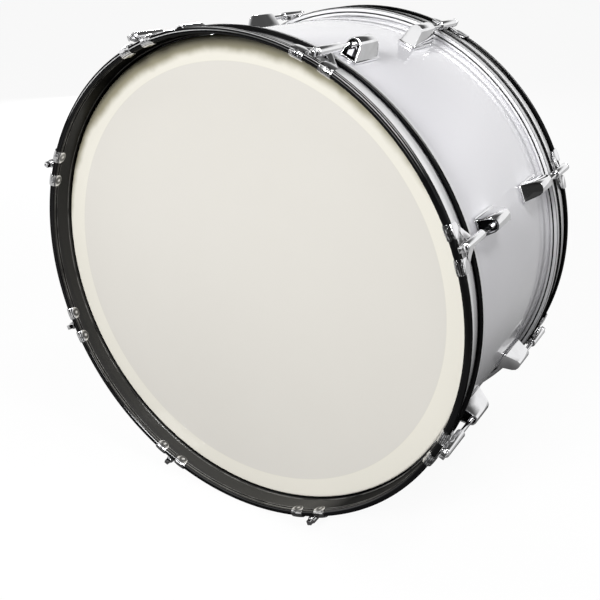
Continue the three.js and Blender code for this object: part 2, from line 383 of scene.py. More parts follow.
def buildWaveGroup():
    # the faint waviness of a rolled, plated or lacquered skin, as a height
    s = waveSettings
    group, given, results = newGroup("skinWaves", {"Broad": 30.0, "Fine": 700.0, "Share": 0.2}, ["Height"])
    broad = noise(group, objectPlace(group), given["Broad"], s["broadDetail"])
    fine = noise(group, objectPlace(group), given["Fine"], s["fineDetail"])
    height = math2(group, "ADD", broad, times(group, fine, given["Share"]))
    group.links.new(height, results["Height"])
    return group


groups = {
    "axis": buildDrumAxisGroup(),
    "smudges": buildSmudgeGroup(),
    "scratches": buildScratchGroup(),
    "waves": buildWaveGroup(),
}
print("shader groups made")


def useGroup(tree, key, values=None):
    made = tree.nodes.new("ShaderNodeGroup")
    made.node_tree = groups[key]
    for name, value in (values or {}).items():
        made.inputs[name].default_value = value
    return made


roughnessLimits = (0.02, 0.95)
tintStops = (0.35, 0.65)
patchDetail = 3.0


def markedRoughness(tree, shader, rough, scale, amount, scratchScale, scratchWidth, scratchRise):
    marks = useGroup(tree, "smudges", {"Scale": scale, "Amount": amount}).outputs[0]
    lines = useGroup(tree, "scratches", {"Scale": scratchScale, "Width": scratchWidth}).outputs[0]
    value = math2(tree, "ADD", math2(tree, "ADD", marks, rough), times(tree, lines, scratchRise))
    limit = node(tree, "Clamp", {0: value, 1: roughnessLimits[0], 2: roughnessLimits[1]})
    tree.links.new(limit.outputs[0], shader.inputs["Roughness"])


def bumpFrom(tree, shader, height, strength, distance):
    bump = node(tree, "Bump", {"Height": height, "Strength": strength, "Distance": distance * mm})
    tree.links.new(bump.outputs[0], shader.inputs["Normal"])


def wavyNormal(tree, shader, broad, fine, share, strength, distance):
    waves = useGroup(tree, "waves", {"Broad": broad, "Fine": fine, "Share": share})
    bumpFrom(tree, shader, waves.outputs[0], strength, distance)


def driftingTint(tree, s):
    # two close tints that drift over the surface
    drift = noise(tree, objectPlace(tree), s["tintScale"], s.get("tintDetail", patchDetail))
    ramp = node(tree, "ValToRGB", {0: drift})
    for stop, position, tint in zip(ramp.color_ramp.elements, tintStops, s["tints"]):
        stop.position = position
        stop.color = (*tint, 1)
    return ramp.outputs[0]


def newMaterial(name, settings):
    # the settings give the shader's plain values and, in the order in which the two functions
    # above take them, the values for its marks and its waves
    material = bpy.data.materials.new(name)
    material.use_nodes = True
    tree = material.node_tree
    shader = tree.nodes["Principled BSDF"]
    for socketName, value in settings["shader"].items():
        shader.inputs[socketName].default_value = value
    if "marks" in settings:
        markedRoughness(tree, shader, *settings["marks"])
    if "waves" in settings:
        wavyNormal(tree, shader, *settings["waves"])
    return material, tree, shader


def paintWith(tree, shader, colour):
    tree.links.new(colour, shader.inputs["Base Color"])


wrapSettings = {
    "tints": ((0.785, 0.78, 0.815), (0.81, 0.805, 0.835)), "tintScale": 3.0,
    "shader": {"Specular IOR Level": 0.15, "Coat Weight": 0.85, "Coat Roughness": 0.015},
    "marks": (0.22, 9.0, 0.08, 35.0, 0.006, 0.1), "waves": (14.0, 500.0, 0.03, 0.12, 0.6),
}


stripSettings = {
    "tints": ((0.95, 0.95, 0.955), (0.975, 0.975, 0.98)), "tintScale": 14.0,
    "shader": {"Coat Weight": 1.0, "Coat Roughness": 0.05},
    "marks": (0.24, 30.0, 0.15, 80.0, 0.01, 0.12), "waves": (70.0, 900.0, 0.2, 0.2, 0.4),
}


def makePlain(name, s):
    # a material with nothing but its tints, marks and waves
    material, tree, shader = newMaterial(name, s)
    paintWith(tree, shader, driftingTint(tree, s))
    return material


# radii and places along the drum in mm, heights and sides as the sine and cosine of the turn
hoopPaintSettings = {
    "tints": ((0.003, 0.003, 0.0033), (0.006, 0.006, 0.0063)), "tintScale": 18.0,
    "shader": {"Specular IOR Level": 0.0, "Coat Roughness": 0.03, "Coat IOR": 1.65},
    "innerSkin": (310.5, 312.0), "outsideGloss": 0.3,
    "blend": 0.5, "facingFade": (0.49, 0.6), "facingGloss": (0.82, 0.1),
    "heightFade": (-0.9, 0.3), "heightGloss": (1.15, 0.45),
    # painted highlights: the inside wall's lines and their grey paint
    "wallHighlightLines": ((156.3, 0.7), (175.0, 0.6), (178.5, 0.9)), "wallHighlightCore": 0.4,
    "patchScale": 35.0, "patchFade": (0.3, 0.6), "wallHighlightPaint": (0.15, 0.147, 0.14),
    # painted highlights on the upper outside, in pale grey paint
    "upperFade": (0.6, 0.72), "brightPaint": (0.6, 0.6, 0.6),
    "crownLine": (178.8, 0.8, 0.4), "flangeLine": (147.2, 0.9, 0.5, 0.6), "outerSkin": (316.0, 316.3),
    "cornerLine": (182.4, 0.4, 0.2, 0.7), "cornerSkin": (315.0, 315.4), "rightFade": (-0.15, 0.05),
    "faceLine": (313.4, 0.6, 0.2), "faceSkin": (182.6, 182.9), "leftFade": (-0.15, 0.1), "rightShare": 0.2,
    "marks": (0.11, 16.0, 0.08, 60.0, 0.01, 0.06), "waves": (40.0, 1400.0, 0.03, 0.2, 0.4),
}


def makeHoopBlack():
    s = hoopPaintSettings
    material, tree, shader = newMaterial("hoopBlack", s)
    around = useGroup(tree, "axis").outputs
    radius, fromMiddle = around["Radius"], math2(tree, "ABSOLUTE", around["Along"])
    height = math2(tree, "SINE", around["Turn"])
    sideways = math2(tree, "COSINE", around["Turn"])
    # the lacquer is glossy on the inside wall, most of all at the bottom, and nearly flat outside
    inside = ranged(tree, radius, *s["innerSkin"], 1.0, s["outsideGloss"])
    seen = node(tree, "LayerWeight", {"Blend": s["blend"]}).outputs["Facing"]
    lacquer = ranged(tree, seen, *s["facingFade"], *s["facingGloss"])
    lower = ranged(tree, height, *s["heightFade"], *s["heightGloss"])
    tree.links.new(times(tree, inside, lacquer, lower), shader.inputs["Coat Weight"])
    # painted highlights: light grey lines along the ledge and beside the groove, broken into patches, stand
    # in for light caught on these edges
    lines = [lineMask(tree, fromMiddle, at, reach, reach * s["wallHighlightCore"]) for at, reach in s["wallHighlightLines"]]
    patches = noise(tree, objectPlace(tree), s["patchScale"], patchDetail)
    wallHighlightMask = times(tree, highest(tree, *lines), ranged(tree, patches, *s["patchFade"]), inside)
    paint = colourMix(tree, wallHighlightMask, driftingTint(tree, s), s["wallHighlightPaint"])
    # painted highlights on the upper stretch, along the nose's crown and the flange
    ridges = highest(tree, lineMask(tree, fromMiddle, *s["crownLine"]),
                     lineMask(tree, fromMiddle, *s["flangeLine"]))
    bright = times(tree, ridges, ranged(tree, radius, *s["outerSkin"]))
    # and painted highlights on the nose's corner to the right and its face to the left
    corner = times(tree, lineMask(tree, fromMiddle, *s["cornerLine"]), ranged(tree, radius, *s["cornerSkin"]),
                   ranged(tree, sideways, *s["rightFade"]))
    face = times(tree, lineMask(tree, radius, *s["faceLine"]), ranged(tree, fromMiddle, *s["faceSkin"]),
                 ranged(tree, sideways, *s["leftFade"], 1.0, s["rightShare"]))
    bright = times(tree, highest(tree, bright, corner, face), ranged(tree, height, *s["upperFade"]))
    paintWith(tree, shader, colourMix(tree, bright, paint, s["brightPaint"]))
    return material


filmSettings = {
    "innerTints": ((0.755, 0.73, 0.675), (0.795, 0.772, 0.72)),
    "cloudScale": 5.0, "cloudDetail": 4.0, "cloudRoughness": 0.55,
    "rim": (276.5, 278.5), "rimTint": (0.88, 0.853, 0.765),
    "pressedAt": 277.5, "pressedCore": 0.2, "pressedReach": 0.8, "pressedShade": 0.955,
    # painted shadow of the hoop along the film's upper edge
    "shadowNoiseScale": 14.0, "shadowNoiseDetail": 4.0, "shadowNoiseRoughness": 0.6, "shadowHeight": (0.1, 0.85),
    "shadowReach": 16.5, "shadowWander": 15.0, "shadowEdge": (299.8, 311.8), "shadowDepth": 0.85,
    "shadowLowest": (-0.35, 0.05), "hoopShadowTint": (0.25, 0.225, 0.13),
    # painted shade on the collar's foot in the gap
    "foot": (141.5, 140.5), "footShade": (0.62, 0.62, 0.64),
    "shader": {"Coat Weight": 0.3, "Coat Roughness": 0.06},
    "marks": (0.42, 7.0, 0.2, 22.0, 0.004, 0.08), "waves": (9.0, 1100.0, 0.02, 0.15, 1.5),
}


def makeFilm():
    s = filmSettings
    material, tree, shader = newMaterial("headFilm", s)
    around = useGroup(tree, "axis").outputs
    radius = around["Radius"]
    # the muffle ring behind the film shows as a slightly creamier rim
    rim = ranged(tree, radius, *s["rim"], kind="SMOOTHSTEP")
    cloud = noise(tree, objectPlace(tree), s["cloudScale"], s["cloudDetail"], s["cloudRoughness"])
    colour = colourMix(tree, rim, colourMix(tree, cloud, *s["innerTints"]), s["rimTint"])
    # a fine line where the ring's edge presses on the film
    away = math2(tree, "ABSOLUTE", math2(tree, "SUBTRACT", radius, s["pressedAt"]))
    line = ranged(tree, away, s["pressedCore"], s["pressedReach"], s["pressedShade"], 1.0)
    colour = node(tree, "VectorMath", {0: colour, 3: line}, operation="SCALE").outputs[0]
    # painted shadow of the hoop, olive, along the film's upper edge
    cloud = noise(tree, objectPlace(tree), s["shadowNoiseScale"], s["shadowNoiseDetail"], s["shadowNoiseRoughness"])
    height = math2(tree, "SINE", around["Turn"])
    reach = times(tree, ranged(tree, height, *s["shadowHeight"]), s["shadowReach"])
    wander = times(tree, math2(tree, "SUBTRACT", cloud, 0.5), s["shadowWander"])
    shadowAt = math2(tree, "ADD", radius, math2(tree, "ADD", reach, wander))
    edge = ranged(tree, shadowAt, *s["shadowEdge"], 0.0, s["shadowDepth"], "SMOOTHSTEP")
    shaded = times(tree, edge, ranged(tree, height, *s["shadowLowest"]))
    colour = colourMix(tree, shaded, colour, s["hoopShadowTint"])
    # painted shade: the collar's foot, in the narrow gap under the flesh hoop, is painted a darker grey
    inGap = ranged(tree, math2(tree, "ABSOLUTE", around["Along"]), *s["foot"])
    paintWith(tree, shader, colourMix(tree, inGap, colour, s["footShade"]))
    return material


fleshMetalSettings = {
    "shader": {"Metallic": 0.25}, "tints": ((0.70, 0.70, 0.71), (0.84, 0.84, 0.85)),
    "lineScale": 1.6, "lineDetail": 3.0, "lineStretch": 0.9, "roughness": (0.3, 0.5),
    "back": 136.2, "slot": (309.55, 1.1, 0.9), "rebateSkin": (314.1, 314.3), "rebateDepth": (1.1, 0.8),
    # near black paint as painted shade in the slot and rebate
    "recessShade": (0.006, 0.006, 0.007), "bump": (0.25, 0.2),
}


def makeFleshMetal():
    s = fleshMetalSettings
    material, tree, shader = newMaterial("fleshHoopAluminium", s)
    around = useGroup(tree, "axis").outputs
    # drawing lines run round the hoop
    where = node(tree, "CombineXYZ", {
        0: around["Turn"], 1: times(tree, around["Along"], s["lineStretch"]),
        2: times(tree, around["Radius"], s["lineStretch"])})
    lines = noise(tree, where.outputs[0], s["lineScale"], s["lineDetail"])
    ramp = node(tree, "ValToRGB", {0: lines})
    for stop, tint in zip(ramp.color_ramp.elements, s["tints"]):
        stop.color = (*tint, 1)
    # painted shade: the slot and the rebate of the outer corner are painted near black
    depth = math2(tree, "SUBTRACT", math2(tree, "ABSOLUTE", around["Along"]), s["back"])
    inSlot = lineMask(tree, around["Radius"], *s["slot"])
    near = ranged(tree, around["Radius"], *s["rebateSkin"])
    inRebate = times(tree, near, ranged(tree, depth, *s["rebateDepth"]))
    shadedRecess = highest(tree, inSlot, inRebate)
    paintWith(tree, shader, colourMix(tree, shadedRecess, ramp.outputs[0], s["recessShade"]))
    tree.links.new(ranged(tree, lines, 0.0, 1.0, *s["roughness"]), shader.inputs["Roughness"])
    bumpFrom(tree, shader, lines, *s["bump"])
    return material


muffleFeltSettings = {
    "tints": ((0.72, 0.69, 0.58), (0.80, 0.77, 0.67)), "tintScale": 60.0, "tintDetail": 5.0,
    "shader": {"Roughness": 0.9},
    "waves": (400.0, 2500.0, 0.6, 0.5, 0.5),
}


chromeSettings = {
    "tints": ((0.80, 0.80, 0.81), (0.87, 0.87, 0.88)), "tintScale": 40.0, "shader": {"Metallic": 1.0},
    "marks": (0.06, 60.0, 0.09, 240.0, 0.012, 0.12),
    "hookOutside": (319.0, 318.3), "hookInside": (309.0, 309.8), "lumpScale": 230.0, "lumpDetail": 2.0,
    "skin": {"Broad": 160.0, "Fine": 2600.0, "Share": 0.04}, "skinShare": 0.04, "bump": (0.9, 1.2),
    # painted reflections on the hooks: dark spots, stripes and dish ring in the near black tint
    "reflectionSpots": (0.48, 0.42), "bendHeight": 313.1, "bendAt": 179.2, "stripeCount": 17.0, "reflectionStripes": (-0.3, 0.5),
    "sideFade": (-0.3, 0.1), "sideShare": (0.1, 0.8), "dishFade": (0.4, 0.7), "dishShare": (0.9, 0.1),
    "bare": (0.03, 0.03, 0.03),
}


def makeChrome():
    s = chromeSettings
    material, tree, shader = newMaterial("chrome", s)
    around = useGroup(tree, "axis").outputs
    radius = around["Radius"]
    # the hooks are cast, so they are lumpy where they wrap the hoop
    hook = times(tree, ranged(tree, radius, *s["hookOutside"]), ranged(tree, radius, *s["hookInside"]))
    lumps = noise(tree, objectPlace(tree), s["lumpScale"], s["lumpDetail"])
    waves = useGroup(tree, "waves", s["skin"]).outputs[0]
    height = math2(tree, "ADD", times(tree, waves, s["skinShare"]), times(tree, lumps, hook))
    bumpFrom(tree, shader, height, *s["bump"])
    # painted reflections: dark stripes run across the bend
    bendUp = math2(tree, "SUBTRACT", radius, s["bendHeight"])
    bendOut = math2(tree, "SUBTRACT", math2(tree, "ABSOLUTE", around["Along"]), s["bendAt"])
    bendAngle = math2(tree, "ARCTAN2", bendUp, bendOut)
    ripple = math2(tree, "SINE", times(tree, bendAngle, s["stripeCount"]))
    # painted reflections: dark spots and stripes on the hooks, stronger on the right side
    marks = highest(tree, ranged(tree, lumps, *s["reflectionSpots"]), ranged(tree, ripple, *s["reflectionStripes"]))
    sideways = math2(tree, "COSINE", around["Turn"])
    marks = times(tree, marks, ranged(tree, sideways, *s["sideFade"], *s["sideShare"]), hook)
    # painted reflection: a dark ring round the dish of each tongue, weaker in the upper ones
    dish = node(tree, "Attribute", attribute_name="dish").outputs["Fac"]
    upwards = math2(tree, "SINE", around["Turn"])
    dishReflection = times(tree, dish, ranged(tree, upwards, *s["dishFade"], *s["dishShare"]))
    plating = driftingTint(tree, s)
    paintWith(tree, shader, colourMix(tree, highest(tree, marks, dishReflection), plating, s["bare"]))
    return material


castSettings = {
    "tints": ((0.78, 0.78, 0.79), (0.86, 0.86, 0.87)), "tintScale": 50.0, "shader": {"Metallic": 1.0},
    # the near black tint is painted shade inside the mouth
    "bare": (0.035, 0.035, 0.037),
    "marks": (0.05, 70.0, 0.07, 200.0, 0.014, 0.1), "waves": (110.0, 1500.0, 0.02, 0.16, 0.4),
}


def makeCastChrome():
    # plating over a casting, with the inside of the mouth painted near black as painted shade
    s = castSettings
    material, tree, shader = newMaterial("castingChrome", s)
    pocket = node(tree, "Attribute", attribute_name="pocket").outputs["Fac"]
    plating = driftingTint(tree, s)
    paintWith(tree, shader, colourMix(tree, pocket, plating, s["bare"]))
    return material


materials = {
    "wrap": makePlain("glossWhiteWrap", wrapSettings),
    "inlay": makePlain("inlayWhite", stripSettings),
    "gloss_black": makeHoopBlack(),
    "film": makeFilm(),
    "flesh_metal": makeFleshMetal(),
    "muffle": makePlain("muffleFelt", muffleFeltSettings),
    "chrome": makeChrome(),
    "lug_casting": makeCastChrome(),
}
print("materials made")


shellSettings = {
    "edgePeak": 302.8, "edgeHeight": 2.0, "innerRound": 0.6, "peakRound": 0.5, "outerRound": 1.2,
    "roundSteps": 3, "ventRadius": 6.4, "drillLength": 40, "drillSides": 32, "smoothTo": 25,
}


def makeShell():
    s = shellSettings
    outside = drum["shellRadius"]
    inside = outside - drum["wall"]
    top = drum["halfLength"]
    low = top - (s["edgePeak"] - inside)
    side = top - s["edgeHeight"]
    corners = [
        (inside, -low), (s["edgePeak"], -top), (outside, -side),
        (outside, side), (s["edgePeak"], top), (inside, low)]
    edge = (s["innerRound"], s["peakRound"], s["outerRound"])
    piece = turned("shell", rounded(corners, edge + edge[::-1], s["roundSteps"]))
    # the vent hole, straight through the wall on the far side
    where, turn = (-outside * mm, 0, axisHeight), (0, math.pi / 2, 0)
    hole = addDrill(s["ventRadius"], s["drillLength"], s["drillSides"], where, turn)
    combine(piece, hole, "DIFFERENCE")
    return smooth(piece, s["smoothTo"])


ventSettings = {
    "bore": 4.4, "tube": 6.1, "flange": 9.5, "flangeInset": 0.5, "innerFlange": 7.6, "thickness": 1.2,
    "rounds": (0.4, 0.5, 0.3, 0, 0, 0.2, 0.5, 0.9), "roundSteps": 4, "steps": 48, "smoothTo": 40,
    "angle": 180,
}


def makeEyelet():
    v = ventSettings
    outer = drum["shellRadius"] + drum["seatGap"]
    inner = drum["shellRadius"] - drum["wall"] - drum["seatGap"]
    low, high = inner - v["thickness"], outer + v["thickness"]
    corners = [
        (v["bore"], low), (v["innerFlange"], low), (v["innerFlange"], inner), (v["tube"], inner),
        (v["tube"], outer), (v["flange"], outer), (v["flange"] - v["flangeInset"], high), (v["bore"], high)]
    profile = rounded(corners, v["rounds"], v["roundSteps"])
    return smooth(turned("eyelet", profile, steps=v["steps"], spinAxis="upright"), v["smoothTo"])


shellPiece = makeShell()
place(shellPiece, "shellTube", Matrix.Identity(4), "drum", "wrap", ["shell"])
bpy.data.objects.remove(shellPiece)
eyelet = makeEyelet()
where = stationPlace("rear", ventSettings["angle"])
place(eyelet, "airVentEyelet", where, "drum", "chrome", ["vent_eyelet"])
bpy.data.objects.remove(eyelet)
print("shell and vent made")


hoopSettings = {
    "bore": 307.0, "shoulder": 309.2, "shoulderAt": 171.0, "noseIn": 309.1, "outside": 316.5, "lipEnd": 175.6,
    "gauge": 1.7, "ledgeAt": 156.0, "ledge": 0.9, "wallTop": 309.0, "grooveAt": 176.1, "grooveDepth": 0.6,
    "grooveBack": 0.9, "grooveFront": 1.0, "grooveStep": 0.1, "curlEnd": 150.6,
    "innerRounds": (0.8, 0.5, 0.25, 0.5, 0.25, 0.5, 2.6), "outerRounds": (1.7, 0.5, 0.5, 1.4, 1.35, 2.0, 0.7),
    "curlRounds": (0.6, 0.5, 0.6, 0.9), "roundSteps": 5, "smoothTo": 50,
}


def makeHoop():
    h = hoopSettings
    front, back, gauge = drum["hoopFront"], drum["hoopBack"], h["gauge"]
    wall, groove, skin = h["wallTop"], h["grooveAt"], h["outside"] - gauge
    # inside wall: a small ledge close to the head, and a groove where the rolled nose begins
    corners = [
        (h["bore"], back),
        (h["bore"], h["ledgeAt"]),
        (h["bore"] + h["ledge"], h["ledgeAt"]),
        (wall, groove - h["grooveBack"]),
        (wall + h["grooveDepth"], groove),
        (wall + h["grooveStep"], groove + h["grooveFront"]),
        (h["noseIn"], front),
        # outside: the nose, its lip, and the floor of the channel
        (h["outside"], front),
        (h["outside"], h["lipEnd"]),
        (skin, h["lipEnd"]),
        (skin, front - gauge),
        (h["noseIn"] + gauge, front - gauge),
        (h["shoulder"] + gauge, h["shoulderAt"]),
        (h["bore"] + gauge, back + gauge),
        # the flange and its curled edge
        (skin, back + gauge),
        (skin, h["curlEnd"]),
        (h["outside"], h["curlEnd"]),
        (h["outside"], back)]
    rounds = h["innerRounds"] + h["outerRounds"] + h["curlRounds"]
    return smooth(turned("hoop", rounded(corners, rounds, h["roundSteps"])), h["smoothTo"])


inlaySettings = {
    "front": 171.6, "height": 2.2, "endGap": 0.6, "rounds": (0.15, 0.15, 0.5, 0.5), "roundSteps": 3,
}


def makeInlayStrip():
    h, s = hoopSettings, inlaySettings
    floorBack = drum["hoopBack"] + h["gauge"]
    slope = (h["shoulder"] - h["bore"]) / (h["shoulderAt"] - floorBack)
    back, front = floorBack + s["endGap"], s["front"]
    low = h["bore"] + h["gauge"] + drum["seatGap"]
    high = low + s["height"]
    corners = [
        (low + slope * (back - floorBack), back), (low + slope * (front - floorBack), front),
        (high + slope * (front - floorBack), front), (high + slope * (back - floorBack), back)]
    return smooth(turned("inlay", rounded(corners, s["rounds"], s["roundSteps"])), h["smoothTo"])


headSettings = {
    "collarIn": 305.1, "thickness": 0.5, "foot": 136.2, "flatTo": 300,
    "backRings": (0, 100, 200, 260, 277, 290), "faceRings": (290, 280, 276, 260, 200, 100, 0),
    "backRound": 2.3, "faceRound": 2.8, "roundSteps": 6, "smoothTo": 40,
}


def makeHeadFilm():
    s = headSettings
    back, face, flat = drum["filmBack"], drum["filmFace"], s["flatTo"]
    collarIn, collarOut = s["collarIn"], s["collarIn"] + s["thickness"]
    under = [(r, back) for r in (*s["backRings"], flat)]
    over = [(r, face) for r in (flat, *s["faceRings"])]
    underCorners = [(flat, back), (collarIn, back), (collarIn, s["foot"])]
    overCorners = [(collarOut, s["foot"]), (collarOut, face), (flat, face)]
    underTurn = rounded(underCorners, (0, s["backRound"], 0), s["roundSteps"], closed=False)
    overTurn = rounded(overCorners, (0, s["faceRound"], 0), s["roundSteps"], closed=False)
    profile = under + underTurn[1:] + overTurn[:-1] + over
    return smooth(turned("film", profile, closed=False), s["smoothTo"])


fleshSettings = {
    "inside": 305.9, "outside": 315.2, "depth": 8.0, "slotIn": 308.7, "slotOut": 310.4, "slotDepth": 1.6,
    "rebate": 0.9, "rounds": (0.3, 0.3, 0.1, 0.1, 0.3, 0.3, 0.1, 0.25, 0.8, 0.3), "roundSteps": 4,
    "smoothTo": 50,
}


def makeFleshHoop():
    # its back face has a slot where the film's channel is pressed shut, and a rebate at the outer corner
    f = fleshSettings
    front = drum["hoopBack"] - drum["seatGap"]
    back = front - f["depth"]
    slotFloor, rebate = back + f["slotDepth"], f["rebate"]
    corners = [
        (f["inside"], back), (f["slotIn"], back), (f["slotIn"], slotFloor),
        (f["slotOut"], slotFloor), (f["slotOut"], back),
        (f["outside"] - rebate, back), (f["outside"] - rebate, back + rebate), (f["outside"], back + rebate),
        (f["outside"], front), (f["inside"], front)]
    return smooth(turned("fleshHoop", rounded(corners, f["rounds"], f["roundSteps"])), f["smoothTo"])


muffleSettings = {
    "inside": 275.3, "outside": 299.3, "thickness": 0.5, "rounds": (0.15, 0.15, 0.1, 0.1), "roundSteps": 2,
    "smoothTo": 50,
}


def makeMuffleRing():
    s = muffleSettings
    face = drum["filmBack"] - drum["seatGap"]
    back = face - s["thickness"]
    corners = [(s["inside"], back), (s["outside"], back), (s["outside"], face), (s["inside"], face)]
    return smooth(turned("muffle", rounded(corners, s["rounds"], s["roundSteps"])), s["smoothTo"])


ringPieces = {
    "Hoop": (makeHoop(), "hoop", "gloss_black"),
    "InlayStrip": (makeInlayStrip(), "hoop_inlay", "inlay"),
    "Head": (makeHeadFilm(), "head_film", "film"),
    "FleshHoop": (makeFleshHoop(), "flesh_hoop", "flesh_metal"),
    "MuffleRing": (makeMuffleRing(), "muffle_ring", "muffle"),
}
for end in ends:
    for label, (source, nodeName, slotName) in ringPieces.items():
        where = Matrix.Rotation(ends[end], 4, "Z")
        place(source, end + label, where, end + "_hoop_assembly", slotName, [end + "_" + nodeName])
for source, nodeName, slotName in ringPieces.values():
    bpy.data.objects.remove(source)
print("hoops and heads made")


clawSettings = {
    "gauge": 1.8, "spread": 18.9, "half": 8.3, "tongueAt": 179.6,
    "tipDegrees": (84, 70, 57, 46, 36, 27, 18, 9), "hookRadius": 4.9, "hookAt": 179.2,
    "hookHeight": 313.1, "hookSteps": 10, "crown": 0.5, "across": 10,
    "dimple": 1.1, "dimpleAt": 176.4, "dimpleRadius": 5.0, "dimpleBelow": 3, "pip": 1.0, "pipShare": 0.45,
    "dishRing": 4.0, "dishWidth": 2.4, "dishBelow": 2, "edgeRound": 0.5, "edgeAngle": 50,
    "barrelFront": 179.0, "barrelLength": 46.0, "barrelRadius": 5.5, "bore": 3.15, "mouthTaper": (0.6, 1.0),
    "barrelRounds": (0.3, 0.7, 0.2, 0.4, 0.4), "roundSteps": 3, "barrelSides": 40,
    "coreInset": 0.8, "coreLength": 60, "smoothTo": 38,
}
# the ear's left and right edge, each as: past the tongue's edge, along the drum, above the hook.
# It is a lip along the nose, then a leaf that narrows to a neck at the barrel's side.
earStations = (
    ((0, 175.4, 0), (0, 175.4, 0)),
    ((0.4, 172.4, -0.1), (0, 172.2, -0.1)),
    ((3.6, 170.9, -0.3), (-0.4, 169.2, -0.5)),
    ((6.0, 169.6, -0.4), (-1.6, 167.6, -1.0)),
    ((4.4, 169.0, -0.4), (-4.2, 165.4, -1.3)),
    ((1.4, 167.8, -0.1), (-7.4, 164.2, -1.2)),
    ((-1.6, 166.6, 0.6), (-10.8, 162.2, -0.5)),
    ((-4.6, 165.2, 1.6), (-14.6, 160.0, 0.6)),
    ((-7.4, 163.6, 2.6), (-18.2, 157.6, 1.9)),
    ((-9.6, 162.2, 3.4), (-21.4, 155.4, 3.0)),
)


def clawStations():
    # pairs of left and right edge points of one tongue, from its tip round the nose to the barrel
    c = clawSettings
    low = c["hookHeight"] - c["hookRadius"]
    high = c["hookHeight"] + c["hookRadius"]
    h = c["half"]
    pairs = []
    for degrees in c["tipDegrees"]:
        half = h * math.cos(math.radians(degrees))
        y = c["tongueAt"] - h * math.sin(math.radians(degrees))
        pairs.append(((-half, y, low), (half, y, low)))
    for k in range(c["hookSteps"] + 1):
        a = -math.pi / 2 + math.pi * k / c["hookSteps"]
        y = c["hookAt"] + c["hookRadius"] * math.cos(a)
        z = c["hookHeight"] + c["hookRadius"] * math.sin(a)
        pairs.append(((-h, y, z), (h, y, z)))
    for (leftIn, leftAt, leftUp), (rightIn, rightAt, rightUp) in earStations:
        pairs.append(((-h + leftIn, leftAt, high + leftUp), (h + rightIn, rightAt, high + rightUp)))
    return [(Vector(a) * mm, Vector(b) * mm) for a, b in pairs]


def crownedRow(pairs, i):
    # points across a station, raised in the middle away from the hoop, with a dimple in the tip
    c = clawSettings
    left, right = pairs[i]
    before, after = pairs[max(i - 1, 0)], pairs[min(i + 1, len(pairs) - 1)]
    along = (after[0] + after[1]) / 2 - (before[0] + before[1]) / 2
    outwards = along.cross(right - left).normalized()
    rise = c["crown"] * mm * min(1, (right - left).length / (c["half"] * mm))
    row = []
    for k in range(c["across"] + 1):
        share = k / c["across"]
        point = left.lerp(right, share)
        height = rise * (1 - (2 * share - 1) ** 2)
        if point.z < (c["hookHeight"] - c["dimpleBelow"]) * mm:
            away = math.hypot(point.x / mm, point.y / mm - c["dimpleAt"]) / c["dimpleRadius"]
            pip = c["pip"] * math.exp(-(away / c["pipShare"]) ** 2)
            height -= c["dimple"] * mm * (math.exp(-away ** 4) - pip)
        row.append(point + outwards * height)
    return row


def makeTongue():
    c = clawSettings
    pairs = clawStations()
    rows = [crownedRow(pairs, i) for i in range(len(pairs))]
    piece = drawLine("tongue", rows[0])
    bpy.ops.mesh.select_mode(type="EDGE")
    bpy.ops.mesh.select_all(action="SELECT")
    middle = c["across"] // 2
    for old, new in zip(rows, rows[1:]):
        step = new[middle] - old[middle]
        bpy.ops.mesh.extrude_region_move(TRANSFORM_OT_translate={"value": step})
        # each new vertex goes to its own place in the next row
        mesh = bmesh.from_edit_mesh(piece.data)
        for v in [v for v in mesh.verts if v.select]:
            nearest = min(range(len(old)), key=lambda k: (v.co - step - old[k]).length)
            v.co = new[nearest]
        bmesh.update_edit_mesh(piece.data)
    setMode("OBJECT")
    modify(piece, "SUBSURF", levels=1, render_levels=1, boundary_smooth="ALL")
    modify(piece, "SOLIDIFY", thickness=c["gauge"] * mm, offset=0.0, use_even_offset=True)
    activate(piece)
    setMode("EDIT")
    bpy.ops.mesh.select_all(action="SELECT")
    bpy.ops.mesh.normals_make_consistent(inside=False)
    setMode("OBJECT")
    return softenEdges(piece, c["edgeRound"], c["edgeAngle"])


def markDish(piece, turn):
    # an attribute that is 1 in the ring round the dish's pip, where a dark reflection is painted
    c = clawSettings
    values = []
    for v in piece.data.vertices:
        x, y, z = v.co / mm
        radius = math.hypot(x, z)
        across = (abs(math.atan2(x, z)) - turn) * radius
        away = math.hypot(across, y - c["dimpleAt"]) - c["dishRing"]
        inside = radius < c["hookHeight"] - c["dishBelow"]
        values.append(math.exp(-(away / c["dishWidth"]) ** 4) if inside else 0.0)
    markVertices(piece, "dish", values)


def makeClaw():
    c = clawSettings
    turn = math.atan(c["spread"] / hoopSettings["outside"])
    right = makeTongue()
    left = right.copy()
    left.data = right.data.copy()
    bpy.context.scene.collection.objects.link(left)
    left.data.transform(Matrix.Scale(-1, 4, (1, 0, 0)))
    left.data.flip_normals()
    right.data.transform(Matrix.Rotation(turn, 4, "Y"))
    left.data.transform(Matrix.Rotation(-turn, 4, "Y"))
    front, back = c["barrelFront"], c["barrelFront"] - c["barrelLength"]
    outer = c["barrelRadius"]
    taperIn, taperLong = c["mouthTaper"]
    corners = [(c["bore"], back), (outer, back), (outer, front - taperLong), (outer - taperIn, front),
               (c["bore"], front)]
    barrel = turned("clawBarrel", rounded(corners, c["barrelRounds"], c["roundSteps"]),
                    steps=c["barrelSides"], centre=drum["rodCircle"], spinAxis="rod")
    combine(right, left, "UNION")
    # the barrel keeps its bore: the tongues are cut by the bore before they join it
    where = (0, (front + back) / 2 * mm, drum["rodCircle"] * mm)
    core = addDrill(outer - c["coreInset"], c["coreLength"], c["barrelSides"], where, (math.pi / 2, 0, 0))
    combine(right, core, "DIFFERENCE")
    combine(right, barrel, "UNION")
    right.name = "claw"
    markDish(right, turn)
    return smooth(right, c["smoothTo"])


